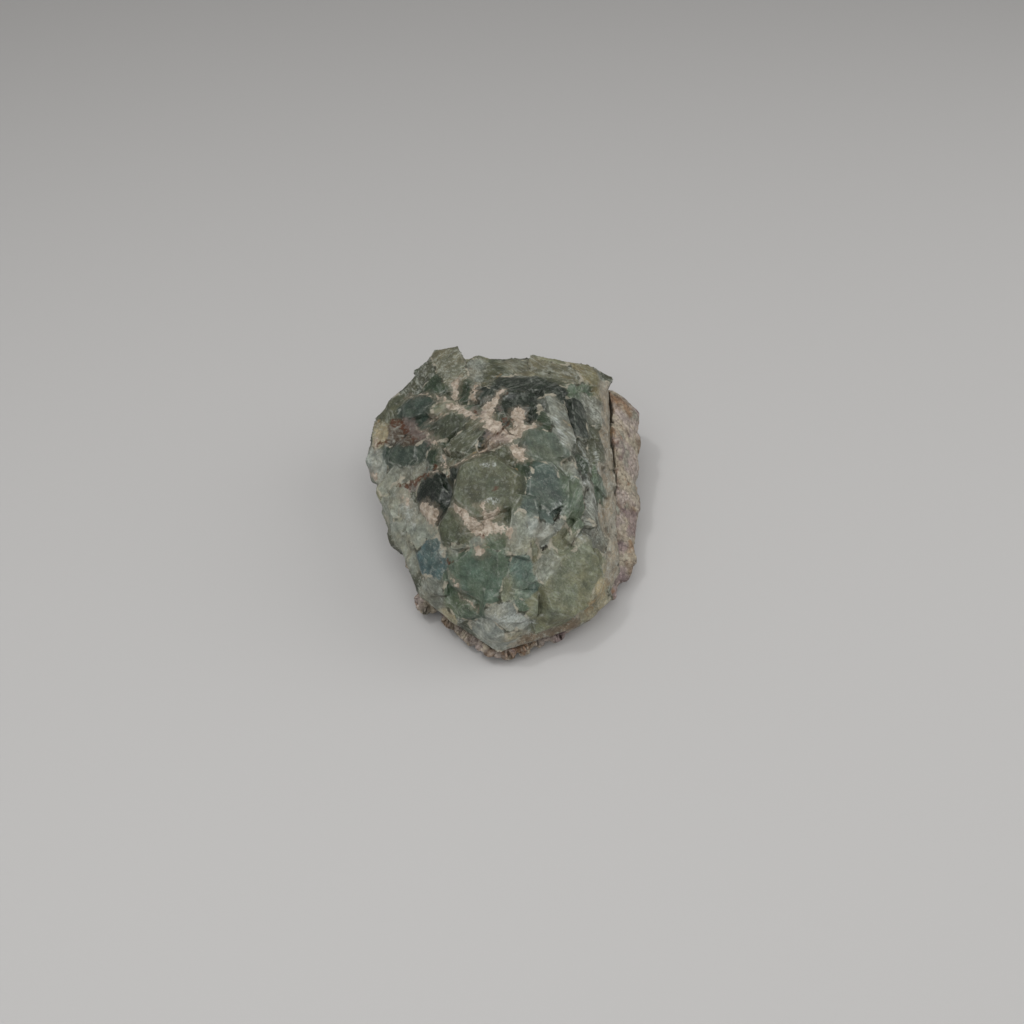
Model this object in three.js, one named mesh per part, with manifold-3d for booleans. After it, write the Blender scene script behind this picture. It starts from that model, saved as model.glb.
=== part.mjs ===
// Fluorite specimen: a cloudy green mass of intergrown crystals on a lilac-brown crust.
// Millimetres, +Z up. The crust lies flat on its underside at z = 0.
import * as THREE from 'three';
import { ConvexHull } from 'three/addons/math/ConvexHull.js';
import { ConvexGeometry } from 'three/addons/geometries/ConvexGeometry.js';
import { mergeVertices } from 'three/addons/utils/BufferGeometryUtils.js';
import Module from 'manifold-3d';

// Corners are measured from a datum beside the middle; this moves the middle of the underside to the origin.
const datumShift = [7.045, -5.45, 0];

// The gap left between the green mass and the crust it grew on.
const parting = 0.35;

// How finely the rounded lumps are divided, and how rough they are.
const crustDetail = 8;
const nestDetail = 6;
const crustRoughness = 0.9;
const crustPitch = 1.9;
const nestWave = 0.6;
const nestPitch = 3.1;

// The body of the mass, and a plain body inside the crust's skin, lie this far inside their corners.
const massInset = 0.7;
const crustInset = 1.7;

// Corners of the green mass: the rim in order round it, then the top, then the underside.
const massCorners = [
  [-7, -36, 5.5], [-21, -28, 9], [-27, -23, 10], [-31, -9, 12], [-38, 6.4, 14], [-43, 15, 17],
  [-43, 20, 20], [-42, 25, 23], [-35, 33, 27], [-29, 40, 30], [-20, 40, 32], [-5, 38, 33],
  [2, 40, 33], [11, 39, 32], [16, 40, 30], [19, 40, 26], [20, 34, 20], [20, 21, 17],
  [20, 6, 14], [21, -6, 11], [22, -13, 8], [19, -20, 7], [15, -26, 6], [9, -30, 6],
  [-8, 15, 37], [-21, 9, 33], [5, 18, 36], [-12, -8, 36], [6, -2, 34], [13, -7, 27],
  [-3, -20, 31], [-17, -18, 28], [-7, -32, 18], [9, -25, 17],
  [-34, 9, 4.5], [-36, 22, 5], [-29, -8, 4.5], [-24, -19, 4], [-8, -33, 4], [13, -25, 4], [20, -8, 4],
  [20, 25, 6], [-25, 37, 5.5], [16, 38.5, 7],
];
const massHeart = [-8, 3, 18];

// Corners of the block that stands highest, at the back left.
const summitCorners = [
  [-29, 40, 30], [-26.5, 42, 33], [-20.5, 40.5, 35.5], [-18.5, 36, 35], [-16, 26, 34], [-24, 24, 32],
  [-31, 32, 29], [-25, 35, 15], [-15, 35, 15], [-30, 30, 15],
];

// Corners of the crust: a slab under the mass with a wall up its right side.
const crustCorners = [
  [-7, -37.4, 4.2], [-14, -33, 5], [-21, -28.6, 5.4], [-27.6, -20.8, 5.4], [-29.5, -14, 6.6], [-32, -7, 8],
  [19, 41, 22], [22, 42, 20], [28, 41, 17], [29, 36, 15], [28, 20, 11], [27, 6, 7],
  [26, 0, 5], [25, -11, 4.6], [23, -14, 4.6], [16, -22.4, 4.4], [10.4, -26.4, 4.4], [18, 33, 25.5],
  [18, 16, 23.5], [-36, 12, 7], [-36, 24, 8], [-27, 37, 10], [-20, 40, 12], [0, 46, 14], [20, 46, 14],
  [-5, 42, 2],
  [-22, 30, -2], [20, 40, -2], [22, 0, -2], [0, -25, -2], [-18, -10, -2], [-24, 15, -2], [10, -22, -2],
];
const crustHeart = [0, 6, 4];

// Faces of the nest in the crust that holds the mass: outward direction and distance from the heart.
const nestFaces = [
  { out: [0, 0.05, -1], distance: 12.4 },
  { out: [1, 0.06, -0.12], distance: 29.2 },
  { out: [0.05, 1, -0.33], distance: 35.4 },
  { out: [-1, 0, 0], distance: 60 },
  { out: [0, -1, 0], distance: 60 },
  { out: [0, 0, 1], distance: 50 },
];

// Habit: how far a crystal has grown from an octahedron, 1, by way of a cuboctahedron, 2, to a cube, 3.
const hexagon = 1.5;
const blunt = 1.72;
const octagon = 2.45;
const block = 2.8;
const cube = 3;

// Depth of a crystal for its narrower half width.
const crystalDepth = 1.15;

// How far round a crystal's foot the slope of the mass is evened out.
const settleSpread = 3;

// Crystals of the top and front: place seen from above, habit, width and length of the top face,
// turn, how far that face stands out of the mass, and its lean and the bearing that it leans towards.
const shownCrystals = {
  darkShoulder: { at: [-24.6, 28.4], habit: octagon, size: [8, 8], turn: 20, stand: 1.0, lean: [6, 250] },
  slateTeal: { at: [-28.6, 22.6], habit: octagon, size: [10.4, 8.4], turn: 8, stand: 0.9, lean: [3, 20] },
  paleOlive: { at: [-23.3, 19.2], habit: cube, size: [7.4, 5], turn: 32, stand: 1.0, lean: [6, 280] },
  darkUpright: { at: [-17, 28], habit: cube, size: [4.4, 8.4], turn: -8, stand: 1.1, lean: [8, 0] },
  paleUpright: { at: [-15.4, 31.6], habit: octagon, size: [5.6, 8], turn: -12, stand: 0.7, lean: [6, 60] },
  darkOlive: { at: [-10, 32.4], habit: hexagon, size: [9, 8.4], turn: 12, stand: 0.7, lean: [4, 300] },
  slateRound: { at: [-12.4, 20.8], habit: hexagon, size: [5, 5.4], turn: 0, stand: 0.7, lean: [6, 190] },
  bigSlate: { at: [-5, 24.4], habit: blunt, size: [12, 10], turn: -14, stand: 0.7, lean: [5, 70] },
  farSlate: { at: [4.4, 25.6], habit: block, size: [11.4, 7.6], turn: 6, stand: 0.3, lean: [4, 80] },
  nearSlate: { at: [-1, 17.4], habit: octagon, size: [7.6, 6.4], turn: 30, stand: 0.4, lean: [6, 120] },
  darkWedge: { at: [1.6, 11.2], habit: hexagon, size: [5, 6], turn: 10, stand: 0.6, lean: [5, 180] },
  longBlade: { at: [5.6, 13.4], habit: block, size: [5, 17], turn: 17, stand: 1.0, lean: [9, 200] },
  hexPlate: { at: [2.6, 3.4], habit: hexagon, size: [10.8, 10], turn: 8, stand: 1.0, lean: [5, 300] },
  squareBlock: { at: [-21.8, 10.2], habit: block, size: [8.8, 8], turn: 30, stand: 1.1, lean: [5, 210] },
  stripedBlock: { at: [-15.2, 5.4], habit: cube, size: [8, 12], turn: -32, stand: 1.5, lean: [5, 150] },
  darkBand: { at: [-10.8, 4.8], habit: cube, size: [3.4, 9], turn: -34, stand: 1.1, lean: [8, 330] },
  deepTeal: { at: [-31.8, 9.6], habit: blunt, size: [10.4, 8], turn: 10, stand: 0.7, lean: [4, 250] },
  smallDark: { at: [-23.4, 3.4], habit: octagon, size: [5, 5.6], turn: 14, stand: 0.8, lean: [5, 260] },
  paleSage: { at: [-34, 4.6], habit: hexagon, size: [6.4, 6.4], turn: 20, stand: 0.5, lean: [5, 20] },
  sageWedge: { at: [-32.4, -0.8], habit: blunt, size: [7, 7], turn: 24, stand: 0.6, lean: [5, 30] },
  blackCorner: { at: [-24, -5], habit: octagon, size: [9, 11], turn: 26, stand: 0.8, lean: [5, 160] },
  bigOlive: { at: [-10.8, -10.6], habit: hexagon, size: [14.2, 14.2], turn: 4, stand: 1.1, lean: [3, 250] },
  darkStrip: { at: [-16, -3], habit: cube, size: [8, 3], turn: 24, stand: 0.9, lean: [6, 110] },
  darkNook: { at: [-6.2, -1.8], habit: hexagon, size: [7, 6], turn: 26, stand: 0.6, lean: [6, 240] },
  oliveTrapeze: { at: [-17.6, -16.4], habit: hexagon, size: [10, 8], turn: 34, stand: 0.9, lean: [4, 250] },
  darkPebble: { at: [-1.8, -4.6], habit: octagon, size: [6, 6.4], turn: 18, stand: 0.7, lean: [5, 90] },
  blueHeart: { at: [3.4, -8.2], habit: hexagon, size: [10.4, 11.4], turn: 14, stand: 0.9, lean: [4, 300] },
  deepGreen: { at: [9.2, -6.4], habit: block, size: [6, 12.4], turn: -14, stand: 0.6, lean: [5, 190] },
  upperRidge: { at: [8.4, 3], habit: cube, size: [2.6, 13], turn: 20, stand: 1.1, lean: [12, 20] },
  lowerRidge: { at: [13.6, -7], habit: cube, size: [2.8, 11], turn: 16, stand: 1.0, lean: [10, 10] },
  streakedSlate: { at: [11, 16], habit: block, size: [5.4, 12], turn: 12, stand: 0.7, lean: [6, 350] },
  flankOlive: { at: [16, 12], habit: octagon, size: [5.4, 9], turn: 10, stand: 0.7, lean: [6, 140] },
  flankPale: { at: [16.2, 24], habit: cube, size: [4.8, 11], turn: 8, stand: 0.8, lean: [6, 30] },
  yellowCorner: { at: [12.8, 34], habit: blunt, size: [9.4, 8.4], turn: 14, stand: 0.5, lean: [4, 60] },
  backBand: { at: [4.4, 34], habit: cube, size: [13, 5.8], turn: -8, stand: 0.7, lean: [6, 270] },
  blueTeal: { at: [-24, -17], habit: blunt, size: [9, 9.6], turn: -14, stand: 0.7, lean: [4, 50] },
  leftSage: { at: [-27.6, -10.6], habit: octagon, size: [7.4, 7], turn: 18, stand: 0.6, lean: [5, 40] },
  paleStrip: { at: [-14.4, -20], habit: cube, size: [8.4, 3.6], turn: 10, stand: 1.1, lean: [6, 270] },
  midGreen: { at: [-8.2, -21], habit: hexagon, size: [7.4, 9], turn: -8, stand: 0.9, lean: [5, 200] },
  longMint: { at: [-2.2, -19], habit: octagon, size: [6.4, 14.4], turn: -6, stand: 1.0, lean: [5, 190] },
  frostedNook: { at: [2.4, -16.4], habit: hexagon, size: [6, 6.6], turn: 20, stand: 0.6, lean: [6, 60] },
  slantBlade: { at: [6.4, -13.2], habit: cube, size: [2.2, 8], turn: -36, stand: 1.2, lean: [8, 140] },
  slantBladeTwo: { at: [9.2, -14.4], habit: cube, size: [2.2, 7], turn: -38, stand: 1.1, lean: [8, 140] },
  creamMint: { at: [11.6, -15.6], habit: octagon, size: [5.6, 4.8], turn: 16, stand: 1.0, lean: [4, 300] },
  lowMint: { at: [3.9, -23], habit: hexagon, size: [5.4, 5.6], turn: 8, stand: 0.8, lean: [4, 240] },
  seaGreen: { at: [-12, -25.6], habit: blunt, size: [14.6, 12.6], turn: 22, stand: 0.9, lean: [3, 260] },
  blueGreen: { at: [-2, -25], habit: octagon, size: [7, 9.6], turn: -10, stand: 0.8, lean: [4, 280] },
  yellowGreen: { at: [9.6, -23.6], habit: octagon, size: [17, 14.4], turn: 22, stand: 0.9, lean: [3, 120] },
  tanCorner: { at: [16, -20.6], habit: cube, size: [5.4, 8], turn: 28, stand: 0.5, lean: [5, 140] },
  paleGrey: { at: [-21.8, -23], habit: block, size: [6, 6.4], turn: 12, stand: 0.6, lean: [4, 60] },
  lowDark: { at: [-14.4, -29.6], habit: octagon, size: [5.4, 4], turn: 24, stand: 0.8, lean: [6, 270] },
  tip: { at: [-7.2, -33.8], habit: blunt, size: [7.4, 6], turn: 45, stand: 0.3, lean: [4, 90] },
  footLeft: { at: [-18.4, -28.4], habit: octagon, size: [6.4, 4.6], turn: -30, stand: 0.3, lean: [4, 60] },
  footRight: { at: [4.6, -29.6], habit: cube, size: [9, 4.4], turn: 16, stand: 0.4, lean: [5, 120] },
  rimSlope: { at: [-34.4, 27.8], habit: octagon, size: [8.4, 7], turn: 36, stand: 0.5, lean: [4, 20] },
  rustBlock: { at: [-38, 17.4], habit: block, size: [6.4, 6.4], turn: 14, stand: 0.4, lean: [5, 10] },
  frostedFoot: { at: [-4.4, -31], habit: octagon, size: [12.8, 7], turn: -6, stand: 0.7, lean: [4, 90] },
};

// Larger crystals of the back, the left side and the right side, in rows round the mass.
const sideRows = [
  { count: 6, from: 64, to: 108, height: 25, size: 9, stand: 0.8 },
  { count: 7, from: 52, to: 132, height: 15, size: 8.4, stand: 1.0 },
  { count: 5, from: 146, to: 186, height: 14, size: 5.8, stand: -0.2 },
  { count: 4, from: 194, to: 232, height: 10, size: 4.6, stand: -0.8 },
  { count: 5, from: 325, to: 391, height: 15, size: 6, stand: 0.6 },
];
const sideHabits = [cube, blunt, octagon, cube, hexagon];
const smallHabits = [cube, blunt, hexagon, cube];
const crustHabits = [hexagon, octagon, blunt];
const sideLean = 8;
const sideRise = 5;

// Small crystals spread evenly over the mass, in what the larger ones leave open: their reach is how far
// down from the top they are spread, where 2 would go all the way round, and the clearance is a share of
// the larger crystal's size.
const smallCount = 104;
const smallSize = 5.6;
const smallStand = 0.25;
const smallLean = 8;
const smallFloor = 10;
const smallReach = 1.5;
const goldenTurn = 137.508;
const smallClearance = 0.56;

// Small lumps of the crust: rows round it, above the flat underside.
const crustRows = [
  { count: 13, height: 2.8, size: 2.6, stand: 0 },
  { count: 13, height: 6.2, size: 3, stand: 0.2 },
  { count: 12, height: 11, size: 4.4, stand: 0.3 },
  { count: 10, height: 17, size: 4.4, stand: 0.3 },
];
const crustLean = 16;
const crustRise = 2.6;

// Pits where a crystal has dropped out or a vein has opened: place, habit, size, turn and depth.
const pits = {
  crevice: { at: [-6.2, 8.4], habit: hexagon, size: [2.4, 5], turn: -30, deep: 1.6 },
  brownHole: { at: [2.9, -20.4], habit: hexagon, size: [1.9, 2.8], turn: 10, deep: 2 },
  darkSlot: { at: [4.6, -11.4], habit: cube, size: [1.5, 4.6], turn: -36, deep: 1.1 },
  ridgeSlot: { at: [11.4, 1.6], habit: cube, size: [1.4, 8], turn: 18, deep: 1.2 },
  rustHollow: { at: [-33, 17], habit: blunt, size: [4.4, 3.6], turn: 20, deep: 0.9 },
  creamHollow: { at: [-19.4, 23.6], habit: hexagon, size: [3.2, 5], turn: 10, deep: 0.8 },
};

// Colours and finish.
const finishes = {
  green_fluorite: { color: 0x6f8270, roughness: 0.42, metalness: 0 },
  lilac_crust: { color: 0x9c8f86, roughness: 0.88, metalness: 0 },
};

const wasm = await Module();
wasm.setup();

const radians = THREE.MathUtils.degToRad;
const vector = (p) => new THREE.Vector3(...p);

// A repeatable number from 0 to 1 for the nth choice.
function pick(n) {
  const value = Math.sin(n * 127.1) * 43758.5453;
  return value - Math.floor(value);
}

function hullOf(corners) {
  return new ConvexHull().setFromPoints(corners.map(vector));
}

// Turns a closed geometry into a solid that can be joined and cut.
function solid(geometry) {
  const bare = geometry.clone();
  bare.deleteAttribute('normal');
  bare.deleteAttribute('uv');
  const merged = mergeVertices(bare, 1e-4);
  const mesh = new wasm.Mesh({
    numProp: 3,
    vertProperties: new Float32Array(merged.attributes.position.array),
    triVerts: new Uint32Array(merged.index.array),
  });
  return new wasm.Manifold(mesh);
}

function geometryOf(shape) {
  const mesh = shape.getMesh();
  const geometry = new THREE.BufferGeometry();
  geometry.setAttribute('position', new THREE.BufferAttribute(new Float32Array(mesh.vertProperties), 3));
  geometry.setIndex(new THREE.BufferAttribute(new Uint32Array(mesh.triVerts), 1));
  return geometry;
}

// Low lumps and hollows over a surface, from -1 to 1.
function lumps(p, pitch) {
  const a = Math.sin((p.x * 1.3 + p.y * 0.7) / pitch + 1.7 * Math.sin(p.z / pitch));
  const b = Math.sin((p.y * 1.1 - p.z * 0.9) / pitch + 1.3 * Math.sin(p.x / pitch + 2));
  const c = Math.sin((p.z * 1.4 + p.x * 0.6 - p.y * 0.5) / (pitch * 0.6) + 4);
  return (a + b + 0.7 * c) / 2.7;
}

// A ball pulled out to a surface, so that every way from the heart has one depth.
function pulledBall(heart, detail, depthAlong) {
  const geometry = new THREE.IcosahedronGeometry(1, detail);
  const position = geometry.attributes.position;
  const way = new THREE.Vector3();
  for (let i = 0; i < position.count; i += 1) {
    way.fromBufferAttribute(position, i).normalize();
    const depth = depthAlong(way);
    position.setXYZ(i, heart.x + way.x * depth, heart.y + way.y * depth, heart.z + way.z * depth);
  }
  return geometry;
}

// A hull with a rough skin.
function roughHull(corners, heartPoint, detail, roughness, pitch) {
  const hull = hullOf(corners);
  const heart = vector(heartPoint);
  const hit = new THREE.Vector3();
  return pulledBall(heart, detail, (way) => {
    hull.intersectRay(new THREE.Ray(heart, way), hit);
    return hit.distanceTo(heart) + roughness * lumps(hit, pitch);
  });
}

// The hollow in the crust that the green mass fills, grown outward by a gap.
function nest(gap) {
  const heart = vector(massHeart);
  const faces = nestFaces.map((face) => ({ out: vector(face.out).normalize(), distance: face.distance }));
  return pulledBall(heart, nestDetail, (way) => {
    let depth = Infinity;
    for (const face of faces) {
      const facing = face.out.dot(way);
      if (facing > 0) {
        depth = Math.min(depth, face.distance / facing);
      }
    }
    const wave = nestWave * lumps(way.clone().multiplyScalar(depth), nestPitch);
    return depth + wave + gap;
  });
}

// Corners of one crystal of unit half width, with a flat face up.
function crystalCorners(habit) {
  const levels = [1, Math.min(1, habit - 1), Math.max(0, habit - 2)];
  const orders = [[0, 1, 2], [0, 2, 1], [1, 0, 2], [1, 2, 0], [2, 0, 1], [2, 1, 0]];
  const found = new Map();
  for (const order of orders) {
    for (let signs = 0; signs < 8; signs += 1) {
      const corner = order.map((level, axis) => levels[level] * ((signs >> axis) & 1 ? -1 : 1));
      found.set(corner.map((value) => value.toFixed(4) * 1).join(), vector(corner));
    }
  }
  const corners = [...found.values()];
  if (habit < 2) {
    const upright = new THREE.Quaternion();
    upright.setFromUnitVectors(vector([1, 1, 1]).normalize(), vector([0, 0, 1]));
    corners.forEach((corner) => corner.applyQuaternion(upright));
  }
  return corners;
}

// One crystal: its top face is centred on a point of the surface and stands out along the normal.
function crystal(spec, point, normal) {
  const { habit, size, turn, stand, lean: [lean, toward] } = spec;
  const topFace = habit < 2 ? 1.3 : 2;
  const topHeight = habit < 2 ? habit / Math.sqrt(3) : 1;
  const width = size[0] / topFace;
  const length = size[1] / topFace;
  const height = Math.min(width, length) * crystalDepth;
  const across = new THREE.Vector3(1, 0, 0).addScaledVector(normal, -normal.x).normalize();
  const along = new THREE.Vector3().crossVectors(normal, across);
  const frame = new THREE.Matrix4().makeBasis(across, along, normal);
  const leanAxis = vector([-Math.sin(radians(toward)), Math.cos(radians(toward)), 0]);
  const place = new THREE.Matrix4().makeTranslation(0, 0, stand)
    .multiply(new THREE.Matrix4().makeRotationAxis(leanAxis, radians(lean)))
    .multiply(new THREE.Matrix4().makeRotationZ(radians(turn)))
    .multiply(new THREE.Matrix4().makeScale(width, length, height))
    .multiply(new THREE.Matrix4().makeTranslation(0, 0, -topHeight));
  const corners = crystalCorners(habit);
  corners.forEach((corner) => corner.applyMatrix4(place).applyMatrix4(frame).add(point));
  return new ConvexGeometry(corners);
}

// Where a line meets a hull, and the way the surface faces there, evened out over a few millimetres.
function settle(hull, origin, way) {
  const point = new THREE.Vector3();
  hull.intersectRay(new THREE.Ray(origin, way), point);
  const normal = new THREE.Vector3();
  const near = new THREE.Vector3();
  const around = [[0, 0, 0], [1, 0, 0], [-1, 0, 0], [0, 1, 0], [0, -1, 0], [0, 0, 1], [0, 0, -1]];
  for (const step of around) {
    near.copy(point).addScaledVector(vector(step), settleSpread);
    const nearest = hull.faces.reduce((a, b) => (b.distanceToPoint(near) > a.distanceToPoint(near) ? b : a));
    normal.add(nearest.normal);
  }
  return { point, normal: normal.normalize() };
}

function topPlace(hull, [x, y]) {
  return settle(hull, new THREE.Vector3(x, y, 200), new THREE.Vector3(0, 0, -1));
}

function sidePlace(hull, heart, bearing, height) {
  const axis = new THREE.Vector3(heart[0], heart[1], height);
  return settle(hull, axis, new THREE.Vector3(Math.cos(radians(bearing)), Math.sin(radians(bearing)), 0));
}

// The nth crystal of a crowd: its habit, size, turn and lean vary from its neighbours'.
function varied(n, habits, size, stand, lean) {
  const width = size * (0.75 + 0.6 * pick(n + 100));
  return {
    habit: habits[Math.floor(pick(n + 150) * habits.length)],
    size: [width, width * (0.8 + 0.5 * pick(n + 200))],
    turn: 90 * pick(n + 250),
    stand: stand * (0.6 + 0.8 * pick(n + 300)),
    lean: [lean * pick(n + 350), 360 * pick(n + 400)],
  };
}

function sideCrystals(hull) {
  const made = [];
  let n = 0;
  for (const row of sideRows) {
    for (let i = 0; i < row.count; i += 1) {
      n += 1;
      const bearing = row.from + ((row.to - row.from) * (i + 0.6 * (pick(n) - 0.5))) / (row.count - 1);
      const height = row.height + sideRise * (pick(n + 50) - 0.5);
      const place = sidePlace(hull, massHeart, bearing, height);
      made.push({ spec: varied(n, sideHabits, row.size, row.stand, sideLean), ...place });
    }
  }
  return made;
}

// Small crystals on directions wound evenly round a ball, left out where a larger one already grows.
function smallCrystals(hull, larger) {
  const made = [];
  for (let i = 0; i < smallCount; i += 1) {
    const rise = 1 - (smallReach * (i + 0.5)) / smallCount;
    const reach = Math.sqrt(1 - rise * rise);
    const bearing = radians(goldenTurn * i);
    const way = new THREE.Vector3(reach * Math.cos(bearing), reach * Math.sin(bearing), rise);
    const place = settle(hull, vector(massHeart), way);
    const open = larger.every(({ spec, point }) => {
      return point.distanceTo(place.point) > smallClearance * Math.max(...spec.size);
    });
    if (open && place.point.z > smallFloor) {
      made.push({ spec: varied(1000 + i, smallHabits, smallSize, smallStand, smallLean), ...place });
    }
  }
  return made;
}

// A hull drawn in towards its heart.
function insetHull(corners, heartPoint, inset) {
  const heart = vector(heartPoint);
  return new ConvexGeometry(corners.map((corner) => {
    const point = vector(corner);
    return point.lerp(heart, inset / point.distanceTo(heart));
  }));
}

// A pit is the hollow that a crystal of its form would leave, turned over.
function pitsOf(hull) {
  return wasm.Manifold.union(Object.values(pits).map(({ deep, ...spec }) => {
    const { point, normal } = topPlace(hull, spec.at);
    const bottom = point.clone().addScaledVector(normal, -deep);
    return solid(crystal({ ...spec, stand: 0, lean: [0, 0] }, bottom, normal.clone().negate()));
  }));
}

function greenMass() {
  const hull = hullOf(massCorners);
  const larger = Object.values(shownCrystals).map((spec) => ({ spec, ...topPlace(hull, spec.at) }));
  larger.push(...sideCrystals(hull));
  const grown = [...larger, ...smallCrystals(hull, larger)];
  const parts = grown.map(({ spec, point, normal }) => solid(crystal(spec, point, normal)));
  parts.push(solid(insetHull(massCorners, massHeart, massInset)));
  parts.push(solid(new ConvexGeometry(summitCorners.map(vector))));
  return wasm.Manifold.union(parts).subtract(pitsOf(hull)).intersect(solid(nest(0)));
}

function crustLumps(hull) {
  const made = [];
  let n = 500;
  for (const row of crustRows) {
    for (let i = 0; i < row.count; i += 1) {
      n += 1;
      const bearing = (360 * (i + 0.7 * pick(n))) / row.count;
      const height = row.height + crustRise * (pick(n + 50) - 0.5);
      const { point, normal } = sidePlace(hull, crustHeart, bearing, height);
      made.push(solid(crystal(varied(n, crustHabits, row.size, row.stand, crustLean), point, normal)));
    }
  }
  return made;
}

function crust() {
  const hull = hullOf(crustCorners);
  const skin = solid(roughHull(crustCorners, crustHeart, crustDetail, crustRoughness, crustPitch));
  const body = solid(insetHull(crustCorners, crustHeart, crustInset));
  const whole = wasm.Manifold.union([skin, body, ...crustLumps(hull)]);
  const below = new THREE.BoxGeometry(200, 200, 20);
  below.translate(0, 0, -10);
  return whole.subtract(solid(nest(parting))).subtract(solid(below));
}

function named(name, shape) {
  const mesh = new THREE.Mesh(geometryOf(shape), new THREE.MeshStandardMaterial(finishes[name]));
  mesh.name = name;
  return mesh;
}

const group = new THREE.Group();
group.add(named('green_fluorite', greenMass()));
group.add(named('lilac_crust', crust()));
group.position.set(...datumShift);

export default group;
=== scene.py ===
import math
import bpy
import bmesh
import numpy as np
from mathutils import Euler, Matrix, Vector
from mathutils.bvhtree import BVHTree
from mathutils.kdtree import KDTree


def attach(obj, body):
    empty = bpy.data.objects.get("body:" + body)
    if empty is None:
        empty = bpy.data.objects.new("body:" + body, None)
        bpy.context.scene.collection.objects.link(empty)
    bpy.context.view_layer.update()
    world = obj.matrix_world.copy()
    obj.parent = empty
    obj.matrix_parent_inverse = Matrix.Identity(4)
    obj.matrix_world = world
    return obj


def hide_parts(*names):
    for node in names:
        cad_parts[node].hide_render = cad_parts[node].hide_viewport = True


# A hand specimen of cloudy green fluorite on its lilac-brown crust.
# Metres, in the frame's own axes; a size that reads better in millimetres is multiplied by mm.

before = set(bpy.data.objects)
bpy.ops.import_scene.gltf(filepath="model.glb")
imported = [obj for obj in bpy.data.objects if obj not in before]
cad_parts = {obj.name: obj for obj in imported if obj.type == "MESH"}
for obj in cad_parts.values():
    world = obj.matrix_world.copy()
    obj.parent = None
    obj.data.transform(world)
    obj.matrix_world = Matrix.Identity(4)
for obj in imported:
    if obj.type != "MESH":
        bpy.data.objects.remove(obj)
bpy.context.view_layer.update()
mm = 0.001
print("frame loaded")

# The camera stands where the photograph was taken from.
photoCamera = {
    "place": (7.045 * mm, -179.35 * mm, 198.2 * mm),
    "tiltDown": 46.4,          # degrees below level
    "turnLeft": 1.69,          # degrees
    "lens": 36.1,
    "sensor": 36.0,
    "nearest": 0.01,
    "pictureSide": 1024,       # pixels
}


def cameraTurn():
    return Euler((math.radians(90 - photoCamera["tiltDown"]), 0, math.radians(photoCamera["turnLeft"])))


def makeCamera():
    data = bpy.data.cameras.new("photoCamera")
    data.lens = photoCamera["lens"]
    data.sensor_width = photoCamera["sensor"]
    data.clip_start = photoCamera["nearest"]
    camera = bpy.data.objects.new("photoCamera", data)
    camera.location = photoCamera["place"]
    camera.rotation_euler = cameraTurn()
    bpy.context.scene.collection.objects.link(camera)
    bpy.context.scene.camera = camera


makeCamera()


# Measuring the two solids

def plainCopy(nodeName):
    copied = bmesh.new()
    copied.from_mesh(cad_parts[nodeName].data)
    bmesh.ops.remove_doubles(copied, verts=copied.verts, dist=0.001 * mm)
    bmesh.ops.dissolve_limit(copied, angle_limit=math.radians(0.3), verts=copied.verts,
                             edges=copied.edges, delimit={"NORMAL"})
    bmesh.ops.triangulate(copied, faces=copied.faces, quad_method="BEAUTY", ngon_method="BEAUTY")
    for part in (copied.verts, copied.edges, copied.faces):
        part.index_update()
    copied.faces.ensure_lookup_table()
    return copied


solids = {name: plainCopy(name) for name in ("green_fluorite", "lilac_crust")}
surfaces = {name: BVHTree.FromBMesh(copied) for name, copied in solids.items()}


# Where a pixel of the photograph meets the specimen, or None.
def photoPoint(pixel):
    side = photoCamera["pictureSide"]
    reach = side * photoCamera["lens"] / photoCamera["sensor"]
    way = Vector((pixel[0] - side / 2, side / 2 - pixel[1], -reach))
    way.rotate(cameraTurn())
    start = Vector(photoCamera["place"])
    hits = [tree.ray_cast(start, way.normalized()) for tree in surfaces.values()]
    hits = [hit for hit in hits if hit[0] is not None]
    return min(hits, key=lambda hit: hit[3])[0] if hits else None


# Each crystal's own share of a solid: faces that no hollow crease parts.
def crystalShares(solid):
    creased = {e.index for e in solid.edges
               if not e.is_convex and e.calc_face_angle(0) > math.radians(2)}
    share = [-1] * len(solid.faces)
    count = 0
    for start in solid.faces:
        if share[start.index] >= 0:
            continue
        waiting = [start]
        share[start.index] = count
        while waiting:
            for e in waiting.pop().edges:
                if e.index in creased:
                    continue
                for face in e.link_faces:
                    if share[face.index] < 0:
                        share[face.index] = count
                        waiting.append(face)
        count += 1
    return np.array(share), count


# Points along the sharp edges of a solid, hollow or outward.
def edgePoints(solid, hollow, spacing=0.2 * mm, sharpness=14):
    found = []
    for e in solid.edges:
        if e.is_convex == hollow or e.calc_face_angle(0) < math.radians(sharpness):
            continue
        start, end = (v.co for v in e.verts)
        steps = max(1, round((end - start).length / spacing))
        found += [start.lerp(end, i / steps) for i in range(steps + 1)]
    return found


def distancesTo(targets, points, reach):
    tree = KDTree(len(targets))
    for i, target in enumerate(targets):
        tree.insert(target, i)
    tree.balance()
    return np.minimum([tree.find(point)[2] for point in points], reach)


# Fine meshes

def sidesOf(triangles):
    return triangles[:, [[0, 1], [1, 2], [2, 0]]].reshape(-1, 2)


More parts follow.
